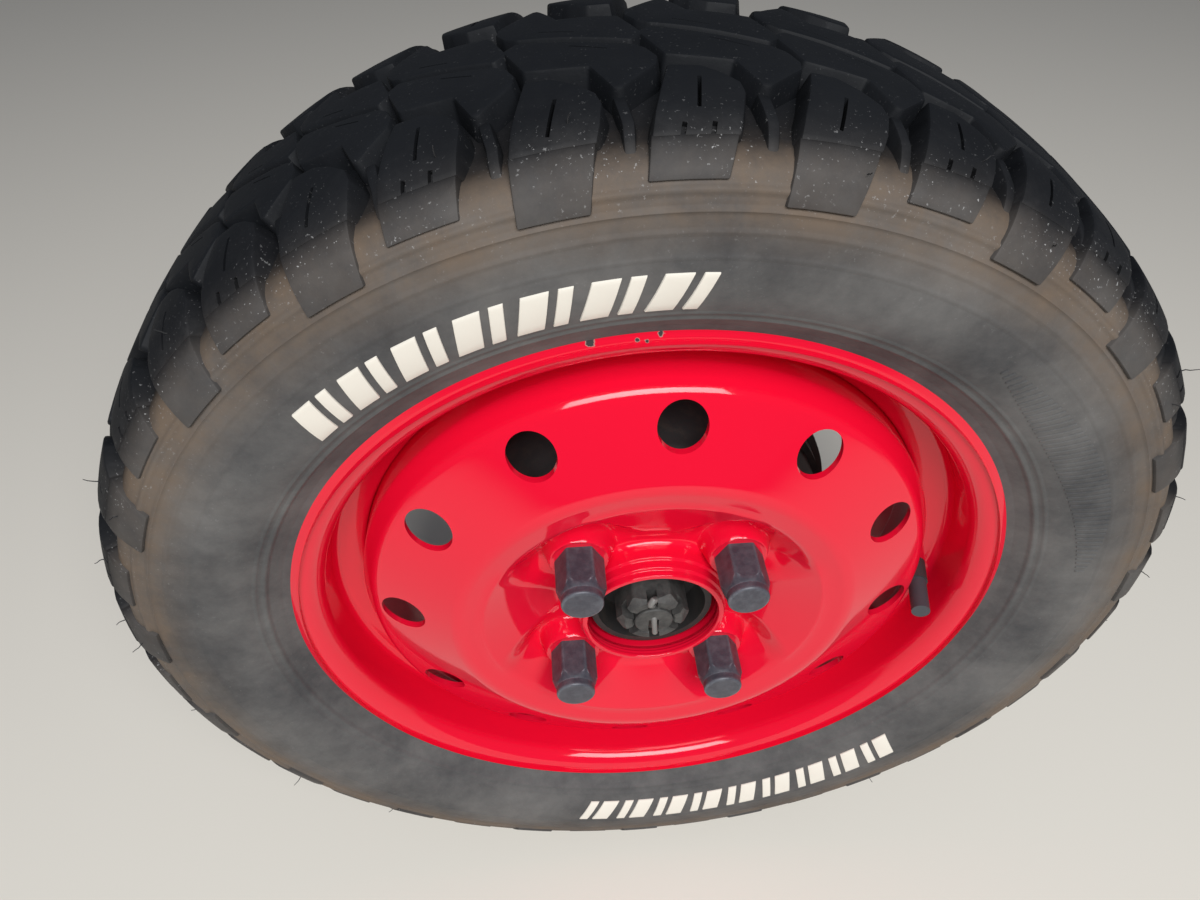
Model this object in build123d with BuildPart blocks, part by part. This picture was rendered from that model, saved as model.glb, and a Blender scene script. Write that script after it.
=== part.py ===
from build123d import *
from math import cos, degrees, pi, radians, sin, sqrt
import os

os.makedirs("parts", exist_ok=True)

# A small truck's driven wheel on its hub, brake drum and axle end.
# Millimetres. The wheel turns about the Y axis and its outside faces -Y.
# y = 0 is the bearing housing's face that bolts to the axle.

# Rim, a pressed steel barrel with a well
barrel_radius = 162.3
flange_height = 16.5
well_depth = 16.3
rim_width = 120.0
rim_sheet = 2.4
flare_radius = 11.0
well_start = 32.0
well_floor_start = 36.0
well_floor_end = 62.0
well_end = 78.0
wheel_offset = 43.0

# Disc, a pressed steel bowl with vent holes
disc_sheet = 3.0
collar_bore_radius = 33.0
collar_height = 16.0
collar_draft = 3.5
bowl_floor_radius = 70.0
bowl_bend = 8.0
crown_inner_radius = 85.0
crown_outer_radius = 97.0
crown_height = 22.0
crown_inner_bend = 8.0
crown_outer_bend = 10.0
shoulder_width = 6.0
shoulder_height = 3.6
shoulder_drop = 8.0
shoulder_bend = 9.0
skirt_length = 34.0
panel_width = 38.0
panel_foot_radius = 48.0
panel_top_radius = 83.0
panel_top_height = 17.0
vent_count = 12
vent_radius = 11.0
vent_inset = 14.7
vent_turn = 86.3
weld_clearance = 0.05

# Wheel studs, nuts and their raised seats
bolt_circle = 110.0
stud_count = 4
stud_turn = 41.67
stud_radius = 5.95
stud_head_radius = 9.0
stud_head_height = 5.0
stud_hole_radius = 6.3
stud_end_gap = 1.5
seat_height = 6.0
seat_top_radius = 13.0
seat_foot_radius = 17.0
nut_flats = 21.0
nut_length = 30.6
nut_cap_radius = 9.9
nut_cap_height = 4.6
nut_cap_bevel = 1.0
nut_chamfer = 1.4
nut_cone_step = 0.3
nut_cone_depth = 3.4
seat_thickness = 3.4
nut_closed_end = 8.0
thread_clearance = 0.05
seat_clearance = 0.1

# Hub
hub_reach = 69.0
hub_flange_radius = 70.0
hub_flange = 10.0
pilot_radius = 31.0
pilot_wall = 3.2
pilot_reach = 19.0
pilot_clearance = 0.3
hub_journal_radius = 27.0
spline_radius = 12.0
fit_clearance = 0.05

# Brake drum
drum_plate = 6.0
drum_inner_radius = 91.0
drum_wall = 7.5
drum_depth = 51.0
drum_lip_radius = 102.0
drum_lip_width = 8.0
drum_corner_radius = 6.0

# Castle nut, washer, cotter pin and stub shaft
thread_radius = 11.6
thread_stand_out = 0.5
castle_flats = 32.5
castle_height = 19.5
castle_slots = 6
castle_slot_width = 5.5
castle_slot_depth = 7.5
castle_slot_turn = 94.0
castle_top_radius = 15.0
castle_bevel = 3.0
washer_radius = 20.0
washer_thickness = 3.5
cotter_radius = 1.9
cotter_clearance = 0.2
cotter_stand_out = 2.0
cotter_gap = 1.0
spline_lead = 1.0
shaft_collar_radius = 20.0
drive_flange_radius = 40.0
drive_flange = 10.0
drive_bolt_circle = 62.0
drive_bolt_count = 4
drive_bolt_turn = 45.0
drive_bolt_hole_radius = 5.25

# Bearing housing and brake backing plate
housing_radius = 38.0
housing_length = 52.0
housing_flange_radius = 64.0
housing_flange = 10.0
housing_bolt_circle = 104.0
housing_bolt_count = 4
housing_bolt_turn = 45.0
housing_bolt_radius = 5.0
housing_bolt_shank_radius = 5.3
housing_bolt_shank_sink = 0.5
housing_hole_bevel = 2.0
housing_bolt_reach = 26.0
housing_bolt_head = 7.0
housing_bolt_head_flats = 14.0
spigot_radius = 37.0
spigot_bore_radius = 29.0
spigot_height = 6.0
backing_sheet = 2.0
backing_radius = 103.7
backing_step_radius = 72.0
backing_step_run = 8.0
backing_lip = 6.0
backing_hole_clearance = 0.3
turning_gap = 5.0

# Fittings on the backing plate
cylinder_turn = 90.0
cylinder_radius = 91.0
cylinder_bolt_spread = 15.0
fitting_bolt_flats = 10.0
fitting_bolt_height = 4.0
bleed_radius = 3.5
bleed_length = 16.0
plug_turn = 250.0
plug_length = 18.0
plug_width = 9.0
plug_height = 3.0

# Valve
valve_turn = -6.5
valve_stem_radius = 5.6
valve_stem_length = 17.0
valve_head_radius = 7.0
valve_head_height = 4.0
valve_head_gap = 0.9
valve_notch_clearance = 0.6
valve_clearance = 0.05
valve_cap_radius = 4.8
valve_cap_length = 20.0

# Tyre: heights are above the rim's lip, drops are below the tread's top,
# and "out" and "in" are measured along the axis from the rim's lip
tyre_height = 85.2
tyre_wall = 8.0
tread_depth = 9.0
side_middle_height = 29.2
side_middle_out = 13.9
rib_drop = 32.0
rib_out = 13.4
rib_width = 8.0
rib_height = 1.2
rib_bevel = 1.0
rib_taper = 2.2
shoulder_middle_drop = 15.5
shoulder_middle_in = 4.0
shoulder_end_drop = 10.2
shoulder_end_in = 25.0
bead_clearance = 0.2
bead_side_in = 1.0
toe_in = 27.0
toe_bevel = 3.0
toe_wall = 17.0
toe_wall_in = 10.0

# Tread: leaning shoulder lugs of two lengths and two rows of slanted blocks
lug_count = 38
lug_turn = 88.9
lug_lean = 0.24
lug_sink = 3.0
long_foot_drop = 21.0
long_foot_out = 10.2
short_foot_drop = 17.0
short_foot_out = 8.2
lug_knee_drop = 15.0
lug_knee_out = 6.5
lug_shoulder_drop = 6.0
lug_shoulder_in = 5.0
lug_top_drop = 1.8
lug_top_in = 22.0
lug_end_in = 34.0
block_turn_across = 10.5
block_crown = 1.0
pitch_waves = 5
pitch_swing = 1.2

# Outlines as (across, outboard of the tyre's centre plane). A lug's is drawn
# upright and then leans. The second row is the first one turned over.
lug_outline = [(-14, 80), (-13.7, 50), (-12, 31), (0, 32.7), (13.5, 43.3), (14.5, 60), (14.5, 80)]
lug_lean_from = 52.4
block_outline = [
    (-24, 3),
    (-19.5, -1.6),
    (17.5, 13.4),
    (21.5, 17),
    (24.5, 24.5),
    (23.5, 30),
    (11.5, 43.4),
    (9, 43),
    (3, 27.5),
    (-7.5, 25.6),
    (-17.5, 23),
]
row_turn_across = -1.0
row_turn_out = 4.0

# Radii, and planes across the spin axis, that these sizes set
lip_radius = barrel_radius + flange_height
well_radius = barrel_radius - well_depth
hub_face = -hub_reach
wheel_seat = hub_face - drum_plate
disc_face = wheel_seat - disc_sheet
centre_plane = wheel_seat + wheel_offset
lip_plane = centre_plane - rim_width / 2
nut_seat = disc_face - seat_height
pilot_face = hub_face - pilot_reach
washer_seat = hub_face
washer_face = washer_seat - washer_thickness
castle_end = washer_face - castle_height
thread_end = castle_end - thread_stand_out
drum_open_end = wheel_seat + drum_depth
backing_outer_plane = drum_open_end + turning_gap
backing_seat = -housing_flange
shaft_flange_face = spigot_height + turning_gap


def facing_out(y):
    """A plane across the spin axis at y, drawn as seen from outside."""
    return Plane.XZ.offset(-y)


def radial(angle):
    """A plane through the spin axis: x is the radius and y runs inboard."""
    c, s = cos(radians(angle)), sin(radians(angle))
    return Plane(origin=(0, 0, 0), x_dir=(c, 0, s), z_dir=(-s, 0, c))


def tangent(angle, radius):
    """A plane that faces outward at a radius: y runs inboard."""
    c, s = cos(radians(angle)), sin(radians(angle))
    origin = (radius * c, 0, radius * s)
    return Plane(origin=origin, x_dir=(s, 0, -c), z_dir=(c, 0, s))


def round_axis(count, start):
    return [start + 360 / count * i for i in range(count)]


def save(part, label):
    part.part.label = label
    export_step(part.part, "parts/" + label + ".step")


stud_angles = round_axis(stud_count, stud_turn)
stud_places = [(bolt_circle / 2 * cos(radians(a)), bolt_circle / 2 * sin(radians(a)))
               for a in stud_angles]
housing_bolt_angles = round_axis(housing_bolt_count, housing_bolt_turn)
lug_pitch = 360 / lug_count
lug_angles = [
    lug_turn - lug_pitch * k - pitch_swing * sin(2 * pi * pitch_waves * k / lug_count)
    for k in range(lug_count)
]


def pitch_scale(k):
    """How wide the tread's pitch is at a lug, against the mean pitch."""
    swing = pitch_swing * 2 * pi * pitch_waves / lug_count
    return 1 + swing / lug_pitch * cos(2 * pi * pitch_waves * k / lug_count)


lug_feet = [(short_foot_drop, short_foot_out), (long_foot_drop, long_foot_out)]


def shoulder_lug(foot_drop, foot_out):
    """A lug at angle 0: its section, cut to its outline seen from outside the tread."""
    top = lip_radius + tyre_height
    section = [
        (top - foot_drop - lug_sink, foot_out - 2 * lug_sink),
        (top - foot_drop, foot_out),
        (top - lug_knee_drop, lug_knee_out),
        (top - lug_shoulder_drop, -lug_shoulder_in),
        (top - lug_top_drop, -lug_top_in),
        (top - lug_top_drop, -lug_end_in),
        (top - tread_depth - lug_sink, -lug_end_in),
    ]
    leaning = [(x + lug_lean * (lug_lean_from - out), out) for x, out in lug_outline]
    with BuildPart() as lug:
        with BuildSketch(radial(0)):
            Polygon(*[(radius, lip_plane - out) for radius, out in section], align=None)
        extrude(amount=rim_width / 2, both=True)
        with BuildSketch(tangent(0, top)):
            Polygon(*[(x, centre_plane - out) for x, out in leaning], align=None)
        extrude(amount=-2 * foot_drop, mode=Mode.INTERSECT)
    return lug.part


# Valve: its hole is in the slope down to the well, and it stands square to it
valve_frame = radial(valve_turn)
slope_depth = barrel_radius - well_radius
slope_length = well_floor_start - well_start
valve_foot = valve_frame.from_local_coords(
    (barrel_radius - slope_depth / 2, lip_plane + (well_start + well_floor_start) / 2, 0))
valve_way = (valve_frame.x_dir * -slope_length + Vector(0, -slope_depth, 0)).normalized()
valve_plane = Plane(origin=valve_foot, z_dir=valve_way)

# Rim barrel: the open side of its section, thickened towards the tyre
with BuildPart() as rim:
    with BuildSketch(Plane.XY):
        with BuildLine():
            flange = FilletPolyline(
                (lip_radius, lip_plane),
                (barrel_radius, lip_plane),
                (barrel_radius, lip_plane + well_start),
                radius=flare_radius,
            )
            well = Polyline(
                flange @ 1,
                (well_radius, lip_plane + well_floor_start),
                (well_radius, lip_plane + well_floor_end),
                (barrel_radius, lip_plane + well_end),
            )
            FilletPolyline(
                well @ 1,
                (barrel_radius, lip_plane + rim_width),
                (lip_radius, lip_plane + rim_width),
                radius=flare_radius,
            )
            offset(amount=rim_sheet, kind=Kind.INTERSECTION, side=Side.RIGHT)
        make_face()
    revolve(axis=Axis.Y)
    with BuildSketch(valve_plane.offset(-valve_head_height)):
        Circle(valve_stem_radius + valve_clearance)
    extrude(amount=valve_stem_length / 2, mode=Mode.SUBTRACT)
save(rim, "rim")

# Disc: the bowl's open side, thickened inboard, with its collar round the hub
skirt_radius = well_radius - weld_clearance
shoulder_radius = skirt_radius - shoulder_width
vent_circle_radius = shoulder_radius - vent_inset
stud_axes = [Axis((x, 0, z), (0, 1, 0)) for x, z in stud_places]
seat_cone_radius = nut_flats / 2 - nut_cone_step
seat_cone_end = seat_cone_radius - nut_cone_depth
with BuildPart() as disc:
    with BuildSketch(Plane.XY):
        with BuildLine():
            collar_foot = collar_bore_radius + disc_sheet + collar_draft
            Line((collar_bore_radius + disc_sheet, disc_face - collar_height),
                 (collar_foot, disc_face))
            bowl = FilletPolyline(
                (collar_foot, disc_face),
                (bowl_floor_radius, disc_face),
                (crown_inner_radius, disc_face - crown_height),
                (crown_outer_radius, disc_face - crown_height),
                (shoulder_radius, disc_face - shoulder_height),
                (skirt_radius, disc_face + shoulder_drop),
                radius=(bowl_bend, crown_inner_bend, crown_outer_bend, shoulder_bend),
            )
            Line(bowl @ 1, (skirt_radius, disc_face + skirt_length))
            offset(amount=disc_sheet, kind=Kind.INTERSECTION, side=Side.LEFT)
        make_face()
    revolve(axis=Axis.Y)
    with BuildSketch(facing_out(wheel_seat)):
        with PolarLocations(vent_circle_radius, vent_count, start_angle=vent_turn):
            Circle(vent_radius)
    extrude(amount=crown_height * 2, mode=Mode.SUBTRACT)
    # Flatter panels run up the bowl between the seats
    panel_planes = [radial(angle + 180 / stud_count) for angle in stud_angles]
    with BuildSketch(*panel_planes):
        Polygon(
            (panel_foot_radius, disc_face),
            (panel_top_radius, disc_face - panel_top_height),
            (panel_top_radius, disc_face - panel_top_height + disc_sheet),
            (bowl_floor_radius, disc_face + disc_sheet / 2),
            align=None,
        )
    extrude(amount=panel_width / 2, both=True)
    with BuildSketch(facing_out(wheel_seat)):
        with PolarLocations(bolt_circle / 2, stud_count, start_angle=stud_turn):
            Circle(seat_foot_radius - disc_sheet / 2)
    extrude(amount=disc_sheet, mode=Mode.SUBTRACT)
    for (x, z), stud_axis in zip(stud_places, stud_axes):
        with BuildSketch(Plane(origin=(x, 0, z), x_dir=(1, 0, 0), z_dir=(0, 0, 1))):
            with BuildLine():
                Polyline(
                    (seat_cone_end, nut_seat + nut_cone_depth),
                    (seat_cone_radius, nut_seat),
                    (seat_top_radius, nut_seat),
                    (seat_foot_radius, disc_face),
                    (seat_foot_radius, wheel_seat),
                    (seat_foot_radius - disc_sheet, wheel_seat),
                    (seat_top_radius - disc_sheet, nut_seat + seat_thickness),
                    (seat_cone_end, nut_seat + seat_thickness),
                    close=True,
                )
            make_face()
        revolve(axis=stud_axis)
    # A notch in the skirt lets the valve stem past
    with BuildSketch(valve_plane):
        Circle(valve_stem_radius + valve_notch_clearance)
    extrude(amount=valve_stem_length, mode=Mode.SUBTRACT)
save(disc, "disc")

# Wheel nuts: closed, with a cone on the seat and a round cap past the hexagon
nut_end = nut_seat - nut_length
hex_end = nut_end + nut_cap_height
nut_corner = nut_flats / sqrt(3) - nut_cap_radius
for number, ((x, z), stud_axis) in enumerate(zip(stud_places, stud_axes), start=1):
    section = Plane(origin=(x, 0, z), x_dir=(1, 0, 0), z_dir=(0, 0, 1))
    across = Plane(origin=(x, nut_seat, z), x_dir=(1, 0, 0), z_dir=(0, -1, 0))
    with BuildPart() as nut:
        with BuildSketch(across):
            RegularPolygon(nut_flats / 2, 6, major_radius=False)
        extrude(amount=nut_length - nut_cap_height)
        with BuildSketch(section):
            with BuildLine():
                Polyline(
                    (0, nut_seat),
                    (nut_flats, nut_seat),
                    (nut_flats, hex_end + nut_chamfer * (nut_flats - nut_cap_radius) / nut_corner),
                    (nut_cap_radius, hex_end),
                    (0, hex_end),
                    close=True,
                )
            make_face()
        revolve(axis=stud_axis, mode=Mode.INTERSECT)
        with BuildSketch(section):
            with BuildLine():
                Polyline(
                    (0, nut_seat + nut_cone_depth - seat_clearance),
                    (seat_cone_end, nut_seat + nut_cone_depth - seat_clearance),
                    (seat_cone_radius, nut_seat - seat_clearance),
                    (0, nut_seat - seat_clearance),
                    close=True,
                )
            make_face()
        revolve(axis=stud_axis)
        with BuildSketch(across.offset(nut_length - nut_cap_height)):
            Circle(nut_cap_radius)
        extrude(amount=nut_cap_height)
        chamfer(nut.faces().sort_by(Axis.Y)[0].edges(), nut_cap_bevel)
        with BuildSketch(across.offset(-nut_cone_depth)):
            Circle(stud_radius + thread_clearance)
        extrude(amount=nut_length + nut_cone_depth - nut_closed_end, mode=Mode.SUBTRACT)
    save(nut, f"lug_nut_{number}")

    # Wheel stud, with its head behind the hub flange
    with BuildPart() as stud:
        with BuildSketch(across.offset(nut_seat - hub_face - hub_flange)):
            Circle(stud_radius)
        extrude(amount=hub_face + hub_flange - nut_end - nut_closed_end - stud_end_gap)
        with BuildSketch(across.offset(nut_seat - hub_face - hub_flange)):
            Circle(stud_head_radius)
        extrude(amount=-stud_head_height)
    save(stud, f"wheel_stud_{number}")

# Hub: flange, pilot ring round the nut's recess, and journal in the housing
with BuildPart() as hub:
    with BuildSketch(Plane.XY):
        with BuildLine():
            Polyline(
                (spline_radius + fit_clearance, washer_seat),
                (pilot_radius - pilot_wall, washer_seat),
                (pilot_radius - pilot_wall, pilot_face),
                (pilot_radius, pilot_face),
                (pilot_radius, hub_face),
                (hub_flange_radius, hub_face),
                (hub_flange_radius, hub_face + hub_flange),
                (housing_radius, hub_face + hub_flange),
                (hub_journal_radius, -housing_length - turning_gap),
                (hub_journal_radius, 0),
                (spline_radius + fit_clearance, 0),
                close=True,
            )
        make_face()
    revolve(axis=Axis.Y)
    with BuildSketch(facing_out(hub_face)):
        with PolarLocations(bolt_circle / 2, stud_count, start_angle=stud_turn):
            Circle(stud_radius + thread_clearance)
    extrude(amount=-hub_flange, mode=Mode.SUBTRACT)
save(hub, "hub")

# Brake drum: a plate on the hub, a braking ring and a lip at the open end
drum_radius = drum_inner_radius + drum_wall
with BuildPart() as drum:
    with BuildSketch(Plane.XY) as drum_section:
        with BuildLine():
            Polyline(
                (pilot_radius + pilot_clearance, wheel_seat),
                (drum_radius, wheel_seat),
                (drum_radius, drum_open_end - drum_lip_width),
                (drum_lip_radius, drum_open_end - drum_lip_width),
                (drum_lip_radius, drum_open_end),
                (drum_inner_radius, drum_open_end),
                (drum_inner_radius, hub_face),
                (pilot_radius + pilot_clearance, hub_face),
                close=True,
            )
        make_face()
        corner = drum_section.vertices().group_by(Axis.Y)[0].sort_by(Axis.X)[-1]
        fillet(corner, drum_corner_radius)
    revolve(axis=Axis.Y)
    with BuildSketch(facing_out(wheel_seat)):
        with PolarLocations(bolt_circle / 2, stud_count, start_angle=stud_turn):
            Circle(stud_hole_radius)
    extrude(amount=-drum_plate, mode=Mode.SUBTRACT)
save(drum, "brake_drum")

# Washer under the castle nut
with BuildPart() as washer:
    with BuildSketch(facing_out(washer_seat)):
        Circle(washer_radius)
        Circle(thread_radius + fit_clearance, mode=Mode.SUBTRACT)
    extrude(amount=washer_thickness)
save(washer, "hub_washer")

# Castle nut: a hexagon bevelled at the end, with a slot in the middle of each flat
castle_frame = facing_out(washer_face)
castle_corner_radius = castle_flats / sqrt(3)
with BuildPart() as castle:
    with BuildSketch(castle_frame):
        with Locations(Rotation(0, 0, castle_slot_turn + 30)):
            RegularPolygon(castle_flats / 2, 6, major_radius=False)
        Circle(thread_radius + thread_clearance, mode=Mode.SUBTRACT)
    extrude(amount=castle_height)
    with BuildSketch(Plane.XY):
        Polygon(
            (0, washer_face),
            (castle_corner_radius, washer_face),
            (castle_corner_radius, castle_end + castle_bevel),
            (castle_top_radius, castle_end),
            (0, castle_end),
            align=None,
        )
    revolve(axis=Axis.Y, mode=Mode.INTERSECT)
    with BuildSketch(facing_out(castle_end)):
        with PolarLocations(castle_corner_radius, castle_slots, start_angle=castle_slot_turn):
            Rectangle(castle_corner_radius * 2, castle_slot_width)
    extrude(amount=-castle_slot_depth, mode=Mode.SUBTRACT)
save(castle, "castle_nut")

# Stub shaft: threaded end, spline through the hub, and a flange for the drive
cotter_place = castle_end + castle_slot_depth / 2
with BuildPart() as shaft:
    with BuildSketch(Plane.XY):
        with BuildLine():
            Polyline(
                (0, thread_end),
                (thread_radius, thread_end),
                (thread_radius, washer_seat),
                (spline_radius, washer_seat + spline_lead),
                (spline_radius, 0),
                (shaft_collar_radius, 0),
                (shaft_collar_radius, shaft_flange_face),
                (drive_flange_radius, shaft_flange_face),
                (drive_flange_radius, shaft_flange_face + drive_flange),
                (0, shaft_flange_face + drive_flange),
                close=True,
            )
        make_face()
    revolve(axis=Axis.Y)
    with BuildSketch(facing_out(shaft_flange_face)):
        with PolarLocations(drive_bolt_circle / 2, drive_bolt_count, drive_bolt_turn):
            Circle(drive_bolt_hole_radius)
    extrude(amount=-drive_flange, mode=Mode.SUBTRACT)
    with BuildSketch(tangent(castle_slot_turn, 0)):
        with Locations((0, cotter_place)):
            Circle(cotter_radius + cotter_clearance)
    extrude(amount=thread_radius * 2, both=True, mode=Mode.SUBTRACT)
save(shaft, "stub_shaft")

# Cotter pin: its head stands in a slot and one leg is bent over the shaft's end
cotter_top = castle_corner_radius + cotter_stand_out
cotter_bend = castle_corner_radius + cotter_radius + cotter_gap
cotter_face = thread_end - cotter_radius - cotter_gap
with BuildPart() as cotter:
    with BuildLine(radial(castle_slot_turn)) as cotter_path:
        FilletPolyline(
            (cotter_top, cotter_place),
            (-cotter_bend, cotter_place),
            (-cotter_bend, cotter_face),
            (0, cotter_face),
            radius=cotter_radius * 1.3,
        )
    with BuildSketch(tangent(castle_slot_turn, cotter_top)):
        with Locations((0, cotter_place)):
            Circle(cotter_radius)
    sweep(path=cotter_path.line)
save(cotter, "cotter_pin")

# Bearing housing: sleeve, flange that bolts to the axle, and spigot
with BuildPart() as housing:
    with BuildSketch(Plane.XY):
        with BuildLine():
            Polyline(
                (hub_journal_radius + fit_clearance, -housing_length),
                (housing_radius, -housing_length),
                (housing_radius, -housing_flange),
                (housing_flange_radius, -housing_flange),
                (housing_flange_radius, 0),
                (spigot_radius, 0),
                (spigot_radius, spigot_height),
                (spigot_bore_radius, spigot_height),
                (spigot_bore_radius, -turning_gap),
                (hub_journal_radius + fit_clearance, -turning_gap),
                close=True,
            )
        make_face()
    revolve(axis=Axis.Y)
    with BuildSketch(facing_out(0)):
        with PolarLocations(housing_bolt_circle / 2, housing_bolt_count, housing_bolt_turn):
            Circle(housing_bolt_shank_radius + thread_clearance)
    extrude(amount=housing_flange, mode=Mode.SUBTRACT)
    with BuildSketch(facing_out(0)):
        with PolarLocations(housing_bolt_circle / 2, housing_bolt_count, housing_bolt_turn):
            Circle(housing_bolt_shank_radius + thread_clearance + housing_hole_bevel)
    extrude(amount=housing_hole_bevel, taper=45, mode=Mode.SUBTRACT)
save(housing, "bearing_housing")

# Brake backing plate: a dished sheet with a lip, clamped on the housing flange
with BuildPart() as backing:
    with BuildSketch(Plane.XY):
        with BuildLine():
            Polyline(
                (housing_radius + backing_hole_clearance, backing_seat),
                (backing_step_radius, backing_seat),
                (backing_step_radius + backing_step_run, backing_outer_plane + backing_sheet),
                (backing_radius, backing_outer_plane + backing_sheet),
                (backing_radius, backing_outer_plane + backing_sheet + backing_lip),
            )
            offset(amount=backing_sheet, kind=Kind.INTERSECTION, side=Side.RIGHT)
        make_face()
    revolve(axis=Axis.Y)
    with BuildSketch(facing_out(backing_seat)):
        with PolarLocations(housing_bolt_circle / 2, housing_bolt_count, housing_bolt_turn):
            Circle(housing_bolt_shank_radius + thread_clearance)
    extrude(amount=backing_sheet, mode=Mode.SUBTRACT)
save(backing, "backing_plate")

# Bolts through the plate and the housing flange into the axle
housing_bolt_places = [
    (housing_bolt_circle / 2 * cos(radians(a)), housing_bolt_circle / 2 * sin(radians(a)))
    for a in housing_bolt_angles
]
for number, (x, z) in enumerate(housing_bolt_places, start=1):
    head_seat = backing_seat - backing_sheet
    across = Plane(origin=(x, head_seat, z), x_dir=(1, 0, 0), z_dir=(0, -1, 0))
    with BuildPart() as bolt:
        with BuildSketch(across):
            RegularPolygon(housing_bolt_head_flats / 2, 6, major_radius=False)
        extrude(amount=housing_bolt_head)
        with BuildSketch(across):
            Circle(housing_bolt_shank_radius)
        extrude(amount=-(backing_sheet + housing_flange - housing_bolt_shank_sink))
        with BuildSketch(across):
            Circle(housing_bolt_radius)
        extrude(amount=-(backing_sheet + housing_flange + housing_bolt_reach))
    save(bolt, f"housing_bolt_{number}")

# Bolts of the brake's wheel cylinder, and its bleed screw
fitting_seat = backing_outer_plane + backing_sheet
cylinder_x = cylinder_radius * cos(radians(cylinder_turn))
cylinder_z = cylinder_radius * sin(radians(cylinder_turn))
with BuildPart() as cylinder_bolts:
    with BuildSketch(facing_out(fitting_seat)):
        with Locations((cylinder_x, cylinder_z)):
            with GridLocations(2 * cylinder_bolt_spread, 0, 2, 1):
                RegularPolygon(fitting_bolt_flats / 2, 6, major_radius=False)
    extrude(amount=-fitting_bolt_height)
save(cylinder_bolts, "cylinder_bolts")
with BuildPart() as bleed:
    with BuildSketch(facing_out(fitting_seat)):
        with Locations((cylinder_x, cylinder_z)):
            Circle(bleed_radius)
    extrude(amount=-bleed_length)
save(bleed, "bleed_screw")

# Rubber plug over the hole for setting the shoes
with BuildPart() as plug:
    with BuildSketch(facing_out(fitting_seat)):
        with PolarLocations(cylinder_radius, 1, start_angle=plug_turn):
            SlotOverall(plug_length, plug_width, rotation=90)
    extrude(amount=-plug_height)
save(plug, "inspection_plug")

# Valve: a rubber stem with its head inside the tyre, and its cap
with BuildPart() as valve:
    with BuildSketch(valve_plane.offset(-rim_sheet - valve_head_gap)):
        Circle(valve_head_radius)
    extrude(amount=-valve_head_height)
    with BuildSketch(valve_plane.offset(-rim_sheet - valve_head_gap)):
        Circle(valve_stem_radius)
    extrude(amount=valve_stem_length)
save(valve, "valve_stem")
with BuildPart() as cap:
    with BuildSketch(valve_plane.offset(valve_stem_length - rim_sheet - valve_head_gap)):
        Circle(valve_cap_radius)
    extrude(amount=valve_cap_length)
save(cap, "valve_cap")

# Tyre carcass: half a section, mirrored and turned about the axis
tyre_radius = lip_radius + tyre_height
tread_base_radius = tyre_radius - tread_depth
rib_radius = tyre_radius - rib_drop
middle_radius = lip_radius + side_middle_height
shoulder_radius_out = tyre_radius - shoulder_end_drop
bead_radius = barrel_radius + rim_sheet + bead_clearance
heel_centre = (barrel_radius + flare_radius, lip_plane + flare_radius)
with BuildPart() as tyre:
    with BuildSketch(Plane.XY):
        with BuildLine():
            heel = CenterArc(heel_centre, flare_radius - rim_sheet - bead_clearance, 180, 90)
            bead_side = Polyline(
                heel @ 1,
                (lip_radius + bead_clearance, (heel @ 1).Y),
                (lip_radius + bead_clearance, lip_plane + bead_side_in),
            )
            side = ThreePointArc(
                bead_side @ 1,
                (middle_radius, lip_plane - side_middle_out),
                (rib_radius, lip_plane - rib_out),
            )
            rib = Polyline(
                side @ 1,
                (rib_radius + rib_bevel, lip_plane - rib_out - rib_height),
                (rib_radius + rib_width - rib_bevel, lip_plane - rib_out - rib_height + rib_taper),
                (rib_radius + rib_width, lip_plane - rib_out + rib_taper),
            )
            shoulder = ThreePointArc(
                rib @ 1,
                (tyre_radius - shoulder_middle_drop, lip_plane + shoulder_middle_in),
                (shoulder_radius_out, lip_plane + shoulder_end_in),
            )
            Polyline(
                shoulder @ 1,
                (tread_base_radius, centre_plane),
                (tread_base_radius - tyre_wall, centre_plane),
                (shoulder_radius_out - tyre_wall, lip_plane + shoulder_end_in),
                (rib_radius, lip_plane - rib_out + tyre_wall),
                (middle_radius, lip_plane - side_middle_out + tyre_wall),
                (bead_radius + toe_wall, lip_plane + toe_wall_in),
                (bead_radius + toe_bevel, lip_plane + toe_in),
                (bead_radius, lip_plane + toe_in - toe_bevel),
                heel @ 0,
            )
        make_face()
        mirror(about=Plane.XZ.offset(-centre_plane))
    revolve(axis=Axis.Y)
    # Shoulder lugs: every second one reaches further down the side
    turned_over = Location((0, 2 * centre_plane, 0), (180, 0, 0))
    row_step = degrees(2 * (block_turn_across + row_turn_across) / tyre_radius)
    for first, foot in enumerate(lug_feet):
        lug = shoulder_lug(*foot)
        with Locations(*[Location((0, 0, 0), (0, -angle, 0)) for angle in lug_angles[first::2]]):
            add(lug)
        inboard = [Location((0, 0, 0), (0, row_step - angle, 0)) for angle in lug_angles[first::2]]
        with Locations(*[turn * turned_over for turn in inboard]):
            add(lug)
    # Two rows of slanted blocks between the shoulders
    second_row = [(2 * row_turn_across - x, 2 * row_turn_out - out) for x, out in block_outline]
    block_turn = degrees(block_turn_across / tyre_radius)
    for k, angle in enumerate(lug_angles):
        wide = pitch_scale(k)
        with BuildSketch(tangent(angle - block_turn * wide, tread_base_radius - lug_sink)):
            for outline in (block_outline, second_row):
                Polygon(*[(x * wide, centre_plane - out) for x, out in outline], align=None)
    extrude(amount=tread_depth + lug_sink - block_crown)
save(tyre, "tyre")
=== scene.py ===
import math
import random

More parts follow.
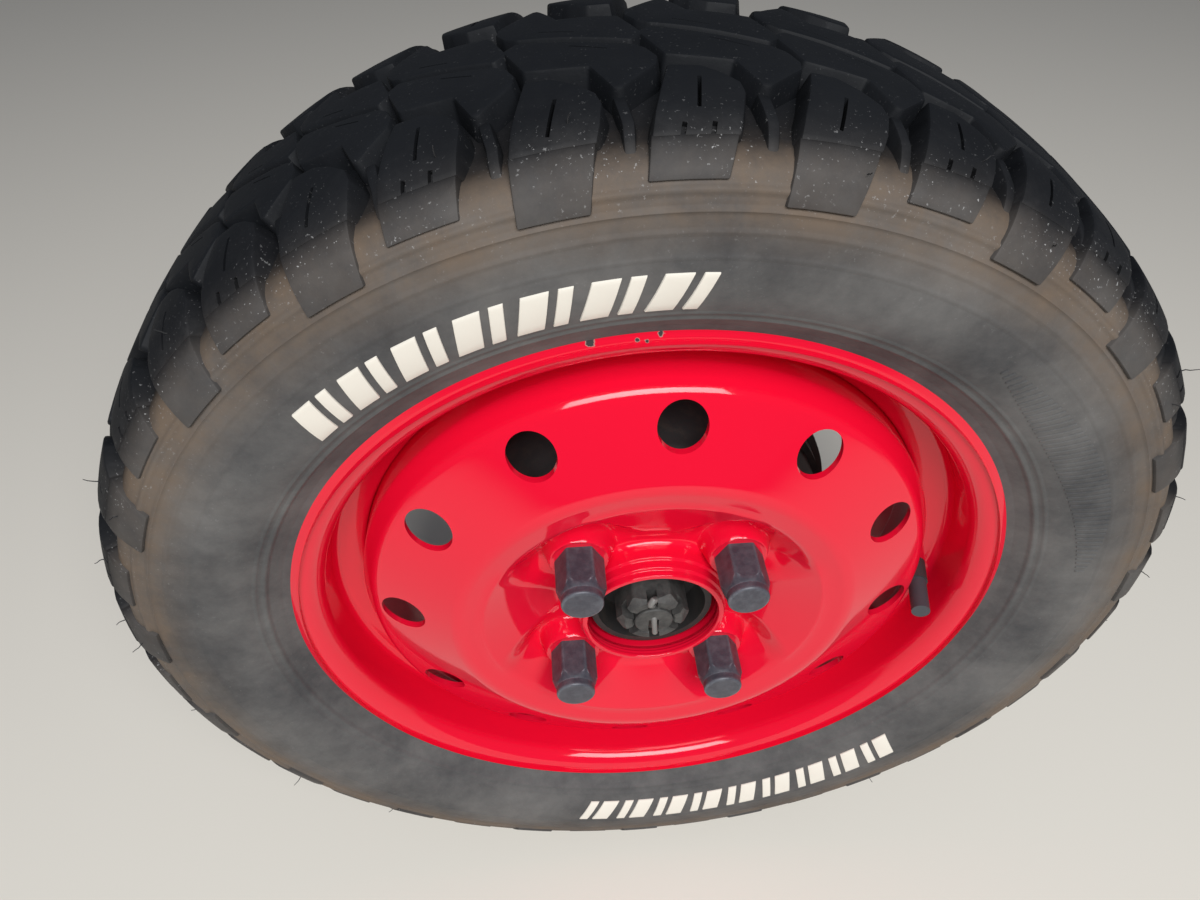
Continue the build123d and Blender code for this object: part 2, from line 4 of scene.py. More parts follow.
import bmesh
import bpy
import numpy as np
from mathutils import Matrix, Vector


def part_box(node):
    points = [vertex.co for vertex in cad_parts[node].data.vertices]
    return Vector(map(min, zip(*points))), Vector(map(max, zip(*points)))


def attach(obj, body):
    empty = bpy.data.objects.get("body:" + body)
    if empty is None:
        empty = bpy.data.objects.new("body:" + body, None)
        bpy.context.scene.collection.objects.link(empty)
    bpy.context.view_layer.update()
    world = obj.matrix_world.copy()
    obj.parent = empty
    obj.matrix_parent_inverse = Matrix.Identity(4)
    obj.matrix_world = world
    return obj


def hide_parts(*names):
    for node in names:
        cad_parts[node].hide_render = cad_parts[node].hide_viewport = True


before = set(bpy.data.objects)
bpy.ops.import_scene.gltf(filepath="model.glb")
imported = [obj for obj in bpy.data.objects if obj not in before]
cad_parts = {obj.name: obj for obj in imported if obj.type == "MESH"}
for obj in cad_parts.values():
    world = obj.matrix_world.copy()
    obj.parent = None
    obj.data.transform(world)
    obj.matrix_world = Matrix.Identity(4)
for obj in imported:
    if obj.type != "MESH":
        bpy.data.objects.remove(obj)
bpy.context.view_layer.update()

scene = bpy.context.scene

# Sizes are in millimetres, and mesh_object turns them into metres. Radii are about
# the wheel's axis, Y. Angles are in degrees from +X to +Z, and +Y is inboard.
mm = 0.001


def box_mm(node):
    low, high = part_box(node)
    return [v / mm for v in low], [v / mm for v in high]


rim_low, rim_high = box_mm("rim")
disc_low, disc_high = box_mm("disc")
castle_low, castle_high = box_mm("castle_nut")
lip_radius, lip_plane = rim_high[0], rim_low[1]
centre_plane = (rim_low[1] + rim_high[1]) / 2
floor_plane = box_mm("tyre")[0][2]

# Rim, with places given inboard of its lip
flange_height, well_depth, rim_sheet = 16.5, 16.3, 2.4
barrel_radius = lip_radius - flange_height
well_radius = barrel_radius - well_depth
lip_flat, lip_roll = 5.0, 1.8
well_side_start, well_start, well_end, well_side_end = 32.0, 36.0, 62.0, 78.0
lip_bend, flare_bend, barrel_bend, well_bend = 6.0, 11.0, 5.0, 3.0

# Disc. Its face is the floor of the pocket in which the nuts stand
disc_sheet, skirt_depth, skirt_gap = 3.0, 34.0, 0.05
disc_face = disc_high[1] - skirt_depth
skirt_radius = well_radius - skirt_gap
collar_drop, collar_bore = 3.5, 33.4
collar_foot, panel_end = 40.0, 90.0
# (radius, in from the collar's end, bend)
collar_steps = [
    (33.0, 3.0, 0), (33.6, 0, 0.8), (36.0, 0, 0.8), (36.4, 3.2, 0.6), (37.6, 4.2, 0.6), (38.0, 8.2, 0.6),
    (39.2, 9.2, 0.6),
]
# (radius, height off the face, bend)
bowl_steps = [(collar_foot, 0, 4), (67.0, 0, 10), (84.5, 18.8, 9), (98.5, 22.0, 12)]
shoulder_in, shoulder_height, shoulder_bend = 6.0, 3.6, 9
skirt_start, skirt_bend = 8.0, 5
# A panel between two nuts: (radius, height off the face)
panel_steps = [(40, 0), (47, 1.2), (60, 7.0), (85, 19.5), (90, 22.0)]
panel_start, panel_side = 17.0, 15.0
vent_circle, vent_radius, vent_count, vent_turn = 125.3, 11.0, 12, 86.3

# Nuts and their seats. A seat's side ends at its radius, and a shallow rebate lies round the nut
bolt_circle, stud_turn, stud_count = 110.0, 41.67, 4
stud_step = 360 / stud_count
nut_seat = disc_face - 6.0
nut_flats, nut_hex_length, nut_length = 21.0, 26.4, 30.6
nut_cap_radius, nut_cap_bend, nut_corner_bevel = 10.0, 1.3, 0.7
nut_cone_radius, nut_cone_depth, nut_face_radius = 7.1, 3.3, 10.2
seat_rise, seat_radius, seat_side = 11.0, 19.0, 5.5
rebate_depth, rebate_radius, rebate_side = 0.8, 14.6, 1.6

# Castle nut, spindle end and split pin
castle_reach = 5.0
castle_end, washer_face = castle_low[1] - castle_reach, castle_high[1]
castle_flats, castle_radius, castle_crown_radius = 32.6, 18.9, 14.6
castle_bevel, castle_corner_bevel = 4.2, 1.2
slot_turn, slot_half, slot_depth, slot_count = 94.0, 2.6, 7.5, 6
spindle_end_radius, spindle_end_bevel = 9.8, 0.6

# Chips in the red paint: (radius, angle, inboard of the lip, size)
paint_chips = [
    (176.16, 99.97, 0.9, 2.4), (176.05, 91.40, 0.9, 1.4), (174.39, 94.31, 0.2, 1.2),
    (173.55, 93.10, 0.1, 1.0), (87.81, 123.76, -7.8, 1.3), (72.47, 129.40, 0.0, 2.2),
]

# Mesh helpers


def mesh_object(name, points, faces, material, sharp=35.0):
    mesh = bpy.data.meshes.new(name)
    mesh.from_pydata((np.asarray(points, float) * mm).tolist(), [], [list(f) for f in faces])
    mesh.validate()
    bm = bmesh.new()
    bm.from_mesh(mesh)
    bmesh.ops.recalc_face_normals(bm, faces=bm.faces)
    bm.to_mesh(mesh)
    bm.free()
    obj = bpy.data.objects.new(name, mesh)
    scene.collection.objects.link(obj)
    obj.data.materials.append(material)
    smooth(obj, sharp)
    return obj


def smooth(obj, sharp):
    """Smooth shading, with edges over the angle sharp kept hard."""
    obj.data.shade_smooth()
    obj.data.set_sharp_from_angle(angle=math.radians(sharp))


def grid_faces(rows, columns, close_rows=False):
    """Faces of a grid whose columns close on themselves."""
    faces = []
    for i in range(rows if close_rows else rows - 1):
        for j in range(columns):
            right, below = (j + 1) % columns, (i + 1) % rows
            faces.append((
                i * columns + j, i * columns + right, below * columns + right, below * columns + j,
            ))
    return faces


def full_circle(segments):
    return np.linspace(0, 2 * math.pi, segments, endpoint=False)


def ring_points(radii, y, angles):
    radii = np.broadcast_to(radii, angles.shape)
    y = np.broadcast_to(y, angles.shape)
    return np.stack([radii * np.cos(angles), y, radii * np.sin(angles)], axis=-1)


def turned(name, outline, material, segments=360, sharp=35.0):
    """A closed outline of (radius, y) points turned about the Y axis."""
    angles = full_circle(segments)
    points = np.concatenate([ring_points(r, y, angles) for r, y in outline])
    faces = grid_faces(len(outline), segments, close_rows=True)
    return mesh_object(name, points, faces, material, sharp)


def round_bar(rings, centre=(0, 0, 0), segments=96):
    """A closed bar through rings, each a (radius, y), about a line along Y through centre."""
    angles = full_circle(segments)
    points = np.concatenate([ring_points(r, y, angles) for r, y in rings]) + np.array(centre)
    last = (len(rings) - 1) * segments
    caps = [tuple(range(segments)), tuple(range(last, last + segments))]
    return mesh_object("bar", points, grid_faces(len(rings), segments) + caps, materials["hub_steel"])


def slot_bar(start, end, near, far, turn):
    """A box as wide as the castle nut's slots, along the angle turn from start to end off the axis."""
    c, s = math.cos(math.radians(turn)), math.sin(math.radians(turn))
    corners = [(start, -slot_half), (start, slot_half), (end, slot_half), (end, -slot_half)]
    points = [(a * c - b * s, y, a * s + b * c) for y in (near, far) for a, b in corners]
    sides = [(0, 1, 2, 3), (7, 6, 5, 4), (0, 4, 5, 1), (1, 5, 6, 2), (2, 6, 7, 3), (3, 7, 4, 0)]
    return mesh_object("bar", points, sides, materials["hub_steel"])


def rounded(corners, bends, steps=8):
    """A line through the corners, whose inner ones are rounded to the radii in bends."""
    corners = [np.array(c, float) for c in corners]
    line = [corners[0]]
    nearly_straight = 1.55
    for before, corner, after, bend in zip(corners, corners[1:], corners[2:], bends):
        u = (before - corner) / np.linalg.norm(before - corner)
        v = (after - corner) / np.linalg.norm(after - corner)
        half = math.acos(np.clip(np.dot(u, v), -1, 1)) / 2
        if bend == 0 or half > nearly_straight:
            line.append(corner)
            continue
        centre = corner + (u + v) / np.linalg.norm(u + v) * bend / math.sin(half)
        start = corner + u * bend / math.tan(half) - centre
        end = corner + v * bend / math.tan(half) - centre
        for t in np.linspace(0, 1, steps + 1):
            arm = start * (1 - t) + end * t
            line.append(centre + arm / np.linalg.norm(arm) * bend)
    line.append(corners[-1])
    return np.array(line)


def beside(line, distance):
    """The line moved sideways, to its left for a distance above 0."""
    steps = np.gradient(line, axis=0)
    steps /= np.linalg.norm(steps, axis=1, keepdims=True)
    return line + distance * np.stack([-steps[:, 1], steps[:, 0]], axis=1)


def spread(line, step):
    """The same line with points no further apart than step."""
    out = [line[0]]
    for a, b in zip(line, line[1:]):
        n = max(1, int(math.ceil(np.linalg.norm(b - a) / step)))
        out.extend(a + (b - a) * k / n for k in range(1, n + 1))
    return np.array(out)


def smooth_step(x):
    x = np.clip(x, 0, 1)
    return x * x * (3 - 2 * x)


def boolean(obj, cutter, operation="DIFFERENCE"):
    modifier = obj.modifiers.new("cut", "BOOLEAN")
    modifier.operation = operation
    modifier.solver = "EXACT"
    modifier.object = cutter
    depsgraph = bpy.context.evaluated_depsgraph_get()
    mesh = bpy.data.meshes.new_from_object(obj.evaluated_get(depsgraph))
    obj.modifiers.clear()
    material = obj.data.materials[0]
    obj.data = mesh
    mesh.materials.clear()
    mesh.materials.append(material)
    bpy.data.objects.remove(cutter)


def points_and_faces(bm):
    """What from_pydata needs of a bmesh, which is then freed."""
    bm.verts.index_update()
    points = np.array([v.co[:] for v in bm.verts])
    faces = [[v.index for v in f.verts] for f in bm.faces]
    bm.free()
    return points, faces


# Materials


def node_material(name, color, roughness, metallic=0.0, coat=0.0, coat_roughness=0.05, specular=0.5):
    material = bpy.data.materials.new(name)
    material.use_nodes = True
    shader = material.node_tree.nodes["Principled BSDF"]
    shader.inputs["Base Color"].default_value = (*color, 1)
    shader.inputs["Roughness"].default_value = roughness
    shader.inputs["Metallic"].default_value = metallic
    shader.inputs["Coat Weight"].default_value = coat
    shader.inputs["Coat Roughness"].default_value = coat_roughness
    shader.inputs["Specular IOR Level"].default_value = specular
    return material, material.node_tree, shader


def plain_material(name, color, roughness, metallic=0.0):
    return node_material(name, color, roughness, metallic)[0]


def add_node(tree, kind, **inputs):
    node = tree.nodes.new(kind)
    for key, value in inputs.items():
        node.inputs[key].default_value = value
    return node


def plug(tree, socket, value):
    """Sets a socket to a number or a colour, or links it to another node's output."""
    if isinstance(value, bpy.types.NodeSocket):
        tree.links.new(value, socket)
    else:
        socket.default_value = (*value, 1) if isinstance(value, tuple) else value


def noise(tree, scale, detail=6.0, rough=0.6):
    place = tree.nodes.new("ShaderNodeTexCoord")
    node = add_node(tree, "ShaderNodeTexNoise", Scale=scale, Detail=detail, Roughness=rough)
    tree.links.new(place.outputs["Object"], node.inputs["Vector"])
    return node.outputs["Fac"]


def ramp(tree, value, low, high, from_value=0.0, to_value=1.0):
    """from_value up to low, to_value beyond high, and even between them."""
    node = tree.nodes.new("ShaderNodeMapRange")
    ends = {"From Min": low, "From Max": high, "To Min": from_value, "To Max": to_value}
    for key, number in ends.items():
        node.inputs[key].default_value = number
    tree.links.new(value, node.inputs["Value"])
    return node.outputs["Result"]


def mix_color(tree, factor, a, b):
    node = tree.nodes.new("ShaderNodeMix")
    node.data_type = "RGBA"
    tree.links.new(factor, node.inputs["Factor"])
    plug(tree, node.inputs["A"], a)
    plug(tree, node.inputs["B"], b)
    return node.outputs["Result"]


def calculate(tree, operation, a, b):
    node = tree.nodes.new("ShaderNodeMath")
    node.operation = operation
    plug(tree, node.inputs[0], a)
    plug(tree, node.inputs[1], b)
    return node.outputs["Value"]


def times(tree, a, b):
    return calculate(tree, "MULTIPLY", a, b)


def vector_value(tree, operation, a, b):
    node = tree.nodes.new("ShaderNodeVectorMath")
    node.operation = operation
    plug(tree, node.inputs[0], a)
    plug(tree, node.inputs[1], b)
    return node.outputs["Value"]


def bump(tree, shader, height, strength, distance):
    node = add_node(tree, "ShaderNodeBump", Strength=strength, Distance=distance)
    tree.links.new(height, node.inputs["Height"])
    tree.links.new(node.outputs["Normal"], shader.inputs["Normal"])


def red_paint():
    """Glossy red, with a few chips down to primer and metal."""
    red, primer, metal = (0.72, 0.004, 0.028), (0.4, 0.2, 0.18), (0.05, 0.045, 0.045)
    material, tree, shader = node_material(
        "red_paint", red, 0.5, coat=1.0, coat_roughness=0.07, specular=0.0
    )
    bump(tree, shader, noise(tree, 60, 3), 0.06, 0.0004)
    place = tree.nodes.new("ShaderNodeTexCoord").outputs["Object"]
    ragged = ramp(tree, noise(tree, 500, 4), 0.3, 0.7, 0.6, 1.5)
    sizes_away = 9
    near = None
    for radius, angle, inboard, size in paint_chips:
        c, s = math.cos(math.radians(angle)), math.sin(math.radians(angle))
        centre = [radius * c * mm, (lip_plane + inboard) * mm, radius * s * mm]
        gap = vector_value(tree, "DISTANCE", place, centre)
        gap = times(tree, ramp(tree, gap, 0, sizes_away * size * mm, 0, sizes_away), ragged)
        near = gap if near is None else calculate(tree, "MINIMUM", near, gap)
    chip = mix_color(tree, ramp(tree, near, 0.62, 0.7), metal, primer)
    plug(tree, shader.inputs["Base Color"], mix_color(tree, ramp(tree, near, 0.85, 0.9), chip, red))
    return material


def tyre_rubber():
    """Rubber whose mud, dark tread and dust follow a mesh attribute of three shares. The dark tread
    colour is partly the rubber's own black and partly painted shade.
    """
    material, tree, shader = node_material("tyre_rubber", (0.03, 0.03, 0.032), 0.65, specular=0.22)
    attribute = tree.nodes.new("ShaderNodeAttribute")
    attribute.attribute_name = "wear_and_shade"
    parts = tree.nodes.new("ShaderNodeSeparateXYZ")
    tree.links.new(attribute.outputs["Vector"], parts.inputs["Vector"])
    mud, tread, dust = (parts.outputs[axis] for axis in "XYZ")
    smudge = ramp(tree, noise(tree, 16, 8), 0.35, 0.7)
    patch = ramp(tree, noise(tree, 11, 9, 0.7), 0.36, 0.64)
    side = mix_color(tree, patch, (0.048, 0.05, 0.054), (0.138, 0.136, 0.134))
    # The near-black tread colour is partly the rubber's own black and partly painted shade
    top = mix_color(tree, smudge, (0.004, 0.005, 0.007), (0.0075, 0.0088, 0.0112))
    bare = mix_color(tree, tread, side, top)
    film = times(tree, dust, ramp(tree, noise(tree, 70, 10, 0.75), 0.48, 0.78, 0.0, 0.35))
    dusty = mix_color(tree, film, bare, (0.07, 0.07, 0.072))
    smear = times(tree, mud, ramp(tree, noise(tree, 40, 10, 0.7), 0.3, 0.62, 0.25, 0.85))
    muddy = mix_color(tree, smear, dusty, (0.15, 0.108, 0.075))
    grains = ramp(tree, noise(tree, 750, 3, 0.6), 0.64, 0.7)
    specks = times(tree, grains, ramp(tree, noise(tree, 60, 4), 0.4, 0.6))
    speckled = mix_color(tree, times(tree, specks, times(tree, dust, 0.8)), muddy, (0.42, 0.42, 0.42))
    plug(tree, shader.inputs["Base Color"], speckled)
    bump(tree, shader, noise(tree, 450, 5), 0.3, 0.0003)
    return material


def edge_wear(tree, reach):
    """1 on sharp edges and 0 on flats."""
    geometry = tree.nodes.new("ShaderNodeNewGeometry")
    soft = add_node(tree, "ShaderNodeBevel", Radius=reach)
    match = vector_value(tree, "DOT_PRODUCT", geometry.outputs["Normal"], soft.outputs["Normal"])
    return ramp(tree, match, 0.9, 0.997, 1.0, 0.0)


def nut_steel():
    """Dark plated steel, paler on its edges."""
    material, tree, shader = node_material("nut_steel", (0.07, 0.07, 0.082), 0.42, metallic=0.1)
    patches = ramp(tree, noise(tree, 220, 8, 0.7), 0.4, 0.75)
    base = mix_color(tree, patches, (0.042, 0.043, 0.058), (0.092, 0.096, 0.115))
    rubbed = ramp(tree, noise(tree, 500, 6, 0.7), 0.35, 0.6, 0.35, 1.0)
    worn = times(tree, edge_wear(tree, 1.3 * mm), rubbed)
    plug(tree, shader.inputs["Base Color"], mix_color(tree, worn, base, (0.42, 0.45, 0.5)))
    bump(tree, shader, noise(tree, 900, 3), 0.15, 0.0002)
    return material


def hub_steel():
    """Dull dusty steel."""
    material, tree, shader = node_material("hub_steel", (0.05, 0.048, 0.047), 0.6, metallic=0.1)
    dust = ramp(tree, noise(tree, 160, 9, 0.7), 0.35, 0.7)
    color = mix_color(tree, dust, (0.03, 0.029, 0.029), (0.085, 0.083, 0.079))
    plug(tree, shader.inputs["Base Color"], color)
    bump(tree, shader, noise(tree, 800, 4), 0.3, 0.0003)
    return material


def cast_iron():
    """Dark iron with a little rust. Its dark base is partly the iron's own colour and partly painted
    shade, so the drum looks black through the vents.
    """
    material, tree, shader = node_material("cast_iron", (0.05, 0.048, 0.046), 0.65)
    rust = ramp(tree, noise(tree, 90, 8, 0.7), 0.5, 0.8)
    # The dark end of this mix is partly painted shade for the drum inside the wheel
    color = mix_color(tree, rust, (0.022, 0.021, 0.021), (0.06, 0.045, 0.035))
    plug(tree, shader.inputs["Base Color"], color)
    bump(tree, shader, noise(tree, 700, 3), 0.3, 0.0004)
    return material


materials = {
    "red_paint": red_paint(),
    "tyre": tyre_rubber(),
    "rubber": plain_material("rubber", (0.03, 0.03, 0.032), 0.6),
    "cap_plastic": plain_material("cap_plastic", (0.045, 0.05, 0.06), 0.5),
    "nut_steel": nut_steel(),
    "hub_steel": hub_steel(),
    "bare_steel": plain_material("bare_steel", (0.2, 0.2, 0.2), 0.45, metallic=0.8),
    "pin_steel": plain_material("pin_steel", (0.19, 0.185, 0.178), 0.5, metallic=0.1),
    "cast_iron": cast_iron(),
    "black_paint": plain_material("black_paint", (0.02, 0.02, 0.02), 0.4),
    "white_rubber": plain_material("white_rubber", (0.78, 0.74, 0.66), 0.6),
    "floor": plain_material("floor", (0.78, 0.745, 0.675), 0.85),
}


def stand_for(obj, node, body):
    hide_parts(node)
    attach(obj, body)


# Rim and disc


def build_rim():
    line = rounded(
        [
            (lip_radius, lip_plane + lip_roll),
            (lip_radius - lip_flat, lip_plane),
            (barrel_radius, lip_plane),
            (barrel_radius, lip_plane + well_side_start),
            (well_radius, lip_plane + well_start),
            (well_radius, lip_plane + well_end),
            (barrel_radius, lip_plane + well_side_end),
            (barrel_radius, rim_high[1]),
            (lip_radius, rim_high[1]),
        ],
        (lip_bend, flare_bend, barrel_bend, well_bend, well_bend, barrel_bend, flare_bend),
        steps=10,
    )
    outline = spread(np.concatenate([line, beside(line, -rim_sheet)[::-1]]), 6)
    rim = turned("rim_shell", outline, materials["red_paint"])
    stand_for(rim, "rim", "wheel")


def bowl_line():
    """The disc's open side, through the pocket round the nuts, from collar to skirt."""
    collar_end = disc_low[1] + collar_drop
    corners = [(radius, collar_end + depth, bend) for radius, depth, bend in collar_steps]
    corners += [(radius, disc_face - height, bend) for radius, height, bend in bowl_steps]
    corners += [
        (skirt_radius - shoulder_in, disc_face - shoulder_height, shoulder_bend),
        (skirt_radius, disc_face + skirt_start, skirt_bend),
        (skirt_radius, disc_face + skirt_depth, 0),
    ]
    return rounded([corner[:2] for corner in corners], [bend for _, _, bend in corners[1:-1]])


def seat_height(distance):
    """How high a nut's seat stands off the face, by distance from the stud's axis."""
    seat = seat_rise * smooth_step((seat_radius - distance) / seat_side)
    return seat - rebate_depth * smooth_step((rebate_radius - distance) / rebate_side)


def stud_places():
    """Each stud's (x, z)."""
    angles = [math.radians(stud_turn + stud_step * number) for number in range(stud_count)]
    return [(bolt_circle / 2 * math.cos(angle), bolt_circle / 2 * math.sin(angle)) for angle in angles]


def bowl_shape(radius, y, angle):
    """Moves the line's y to the surface at an angle: panels between nuts, seats under them."""
    turn = (np.degrees(angle) - stud_turn + stud_step / 2) % stud_step - stud_step / 2
    arc = np.abs(turn) * radius / 60
    between = smooth_step((arc - panel_start) / panel_side)
    panel = disc_face - np.interp(radius, *zip(*panel_steps))
    inside = smooth_step((radius - collar_foot) / 4) * smooth_step((panel_end - 2 - radius) / 3)
    out = y + np.minimum(panel - y, 0) * between * inside
    for x, z in stud_places():
        distance = np.hypot(radius * np.cos(angle) - x, radius * np.sin(angle) - z)
        out = np.minimum(out, disc_face - seat_height(distance))
    return np.where((radius > collar_foot) & (radius < panel_end), out, y)


def build_disc():
    line = bowl_line()
    dense = []
    for a, b in zip(line, line[1:]):
        step = 0.9 if collar_foot + 1 < max(a[0], b[0]) < panel_end else 4.0
        dense.extend(spread(np.array([a, b]), step)[:-1])
    front = np.array(dense + [line[-1]])
    back = spread(beside(line, disc_sheet)[::-1], 3.0)
    in_collar = (back[:, 0] < collar_foot) & (back[:, 1] < disc_face - 2)
    back[in_collar, 0] = np.minimum(back[in_collar, 0], collar_bore)
    segments = 480
    angles = full_circle(segments)
    rows = []
    for radius, y in front:
        rows.append(ring_points(radius, bowl_shape(np.full(segments, radius), y, angles), angles))
    for radius, y in back:
        if collar_foot < radius < panel_end:
            y = bowl_shape(np.full(segments, radius), y - disc_sheet, angles) + disc_sheet
        rows.append(ring_points(radius, y, angles))
    faces = grid_faces(len(rows), segments, close_rows=True)
    disc = mesh_object("disc_shell", np.concatenate(rows), faces, materials["red_paint"])
    for turn in np.radians(vent_turn + 360 / vent_count * np.arange(vent_count)):
        centre = (vent_circle * math.cos(turn), 0, vent_circle * math.sin(turn))
        through = [(vent_radius, disc_low[1] - 20), (vent_radius, disc_high[1])]
        boolean(disc, round_bar(through, centre, segments=64))
    smooth(disc, 35)
    stand_for(disc, "disc", "wheel")


build_rim()
build_disc()

# Tyre. A flat place on it is (across, along, height): along follows its outside
# from the bead over the shoulder, across is mm round it, height is off the outside.
lug_count, lug_turn, pitch_waves, pitch_swing = 38, 88.9, 5, 1.2
lug_pitch = 360 / lug_count

# Half of the tyre's outside, over the lugs: (radius, in from the rim's lip)
side_line = [
    (180, 0), (190, -8), (202, -12.8), (215, -14.6), (228, -14.1), (240, -11), (248, -7),
    (254, -2), (258, 5), (261, 15), (262.9, 30), (263.6, 45), (264, 60),
]

# Tread shapes as (across, along), drawn at the middle of a lug's cut.
# Every second lug is long and reaches further down the side.
groove_floor, ridge_drop = -9.5, -3.4
foot_start, foot_rise, foot_top, foot_bottom = 80.6, 0.11, -0.5, -8.0
long_lug_top = [
    (-7.2, 113.4), (1.5, 112.2), (8.5, 107), (15, 100), (16.4, 94.5), (14.8, 86), (12.8, 79.6),
    (-15, 79.6), (-13.2, 89), (-9.6, 103),
]
long_foot_top = [(-15.2, foot_start), (12.6, foot_start), (7.2, 59), (-16.2, 59)]
short_lug_top = [
    (-7.8, 113.4), (3, 112.4), (9, 108), (14.4, 102.4), (15.2, 97), (13.4, 88), (11.6, 79.6),
    (-16, 79.6), (-14.2, 89), (-10.6, 103),
]
short_foot_top = [(-16.2, foot_start), (11.4, foot_start), (7.8, 66.5), (-17.4, 66.5)]
ridge_top = [(20.4, 101.5), (24.4, 101.5), (25.8, 88), (24.4, 74.5), (20.8, 74.5), (21.8, 88)]
# The blocks as (across, out from the middle of the tread)
block_top = [
    (-13.5, 3), (-9, -1.6), (28, 13.4), (32, 17), (35, 24.5), (34, 30),
    (22, 43.4), (19.5, 43), (15.6, 33), (13.5, 27.5), (3, 25.6), (-7, 23),
]
row_turn_across, row_turn_out = 9.5, 4.0

# Cuts as (start, run, width, depth)
long_lug_cuts = [((2.1, 99.6), (-4.0, -15.4), 1.3, 6)]
short_lug_cuts = [
    ((1.4, 105), (-2.0, -15.3), 1.3, 6),
    ((-5.6, 84), (-1.3, -6), 1.6, 2.5),
    ((3.8, 84), (-1.3, -6), 1.6, 2.5),
]
# The block's starts at (across, out)
block_cut_start, block_cut = (8.5, 10), ((11.5, -6), 0.7, 5)

# Ribs round the side: (along, width, height)
ribs = [(9, 2.0, 0.6), (13.5, 1.0, 0.4), (41, 0.8, 0.4), (50, 1.2, 0.5), (57, 1.4, 0.9), (63.5, 2.2, 1.0)]
# The ground between the lugs: (along, height off the outside)
ground_steps = [(60, 0), (68, -0.5), (72, -1.2), (76, -3.5), (84, -7.0), (92, -9.2)]

# Mud, dark tread and dust by how far round the section a place lies, in degrees up from level: (turn,
# share). The dark tread is partly painted shade.
section_centre = 200.0
mud_steps = [
    (0, 0.05), (12, 0.1), (18, 0.35), (23, 0.9), (35, 1.0), (38, 0.6), (41, 0.15), (46, 0.05), (60, 0),
]
# How far a place goes towards the near-black tread colour, which is partly painted shade
tread_and_shade_steps = [(31, 0), (36, 0.6), (40, 0.95), (48, 1)]
dust_steps = [(0, 0.1), (24, 0.2), (31, 0.7), (36, 1), (41, 0.7), (47, 0.25), (60, 0.1)]
# Lugs go at least this far towards the near-black tread colour, partly painted shade
lug_mud_share, lug_least_tread_and_shade = 0.25, 0.4125


def chaikin(line, rounds=3):
    """The line with its corners cut off, again and again."""
    for _ in range(rounds):
        cut = [line[0]]
        for a, b in zip(line, line[1:]):
            cut += [a * 0.75 + b * 0.25, a * 0.25 + b * 0.75]
        line = np.array(cut + [line[-1]])
    return line


outside = chaikin(np.array([(r, lip_plane + y) for r, y in side_line], float))
outside = np.concatenate([outside, [(r, 2 * centre_plane - y) for r, y in outside[-2::-1]]])
run = np.concatenate([[0], np.cumsum(np.hypot(*np.diff(outside, axis=0).T))])
girth = run[-1]
half_girth = girth / 2
slope = np.gradient(outside, run, axis=0)
facing = np.stack([slope[:, 1], -slope[:, 0]], axis=1)


def on_tyre(flat, angle, width=1.0):
    """Flat places as scene points, about an angle in degrees."""
    across, along, height = np.asarray(flat, float).T
    radius, y = (np.interp(along, run, outside[:, i]) for i in (0, 1))
    out_r, out_y = (np.interp(along, run, facing[:, i]) for i in (0, 1))
    turn = np.radians(angle) - across * width / radius
    r = radius + out_r * height
    return np.stack([r * np.cos(turn), y + out_y * height, r * np.sin(turn)], axis=-1)


def lug_angle(k):
    """Where lug k stands. The pitch grows and shrinks in waves round the tyre."""
    return lug_turn - lug_pitch * k - pitch_swing * math.sin(2 * math.pi * pitch_waves * k / lug_count)


def lug_scale(k):
    swing = pitch_swing * 2 * math.pi * pitch_waves / lug_count
    return 1 + swing / lug_pitch * math.cos(2 * math.pi * pitch_waves * k / lug_count)


def unit(vector):
    return vector / np.linalg.norm(vector)


def grown(outline, amount):
    """The outline with each side moved out by amount."""
    points = np.array(outline, float)
    following = np.roll(points, -1, axis=0)
    area = np.sum(points[:, 0] * following[:, 1] - following[:, 0] * points[:, 1])
    out = []
    for before, point, after in zip(np.roll(points, 1, axis=0), points, following):
        u, v = unit(point - before), unit(after - point)
        n, m = np.array([u[1], -u[0]]), np.array([v[1], -v[0]])
        miter = (n + m) / (1 + np.dot(n, m))
        out.append(point + miter * amount * (1 if area > 0 else -1))
    return out


def slit(start, way, wide, top, deep):
    """A thin cutter from start to start + way, reaching deep below top."""
    (x, s), (dx, ds) = start, way
    length = math.hypot(dx, ds)
    nx, ns = -ds / length * wide / 2, dx / length * wide / 2
    base = [(x + nx, s + ns), (x + dx + nx, s + ds + ns), (x + dx - nx, s + ds - ns), (x - nx, s - ns)]
    points = [(a, b, top - deep) for a, b in base] + [(a, b, top + 2) for a, b in base]
    sides = [(0, 1, 2, 3), (7, 6, 5, 4), (4, 5, 1, 0), (5, 6, 2, 1), (6, 7, 3, 2), (7, 4, 0, 3)]
    mesh = bpy.data.meshes.new("slit")
    mesh.from_pydata(points, [], sides)
    obj = bpy.data.objects.new("slit", mesh)
    scene.collection.objects.link(obj)
    return obj


